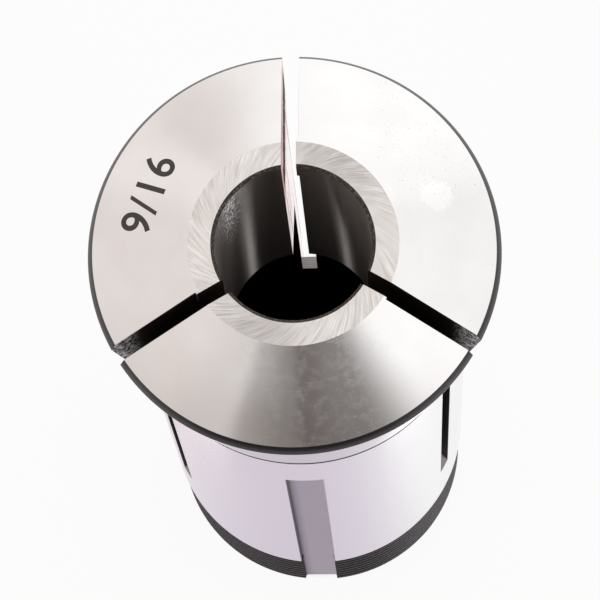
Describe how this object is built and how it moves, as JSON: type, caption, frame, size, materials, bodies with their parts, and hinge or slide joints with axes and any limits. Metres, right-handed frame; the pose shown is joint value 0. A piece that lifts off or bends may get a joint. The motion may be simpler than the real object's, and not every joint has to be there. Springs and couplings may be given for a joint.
{
  "type": "lathe collet",
  "caption": "Slotted draw-in lathe collet: a steel sleeve with a tapered nose, saw-cut jaws round a gripping bore, a keyway and a threaded rear end.",
  "frame": {"origin": "middle of the rear face, on the bore's axis", "axes": "+Z along the bore towards the nose, so the collet stands on its rear face; the keyway lies at -Y and one slot at +Y"},
  "size_m": [0.0378, 0.0378, 0.0825],
  "materials": {
    "hardened_steel": "ground and brushed, with a black oxide rear end and bore"
  },
  "bodies": {
    "root": {"collet_body": "hardened_steel"}
  },
  "joints": []
}
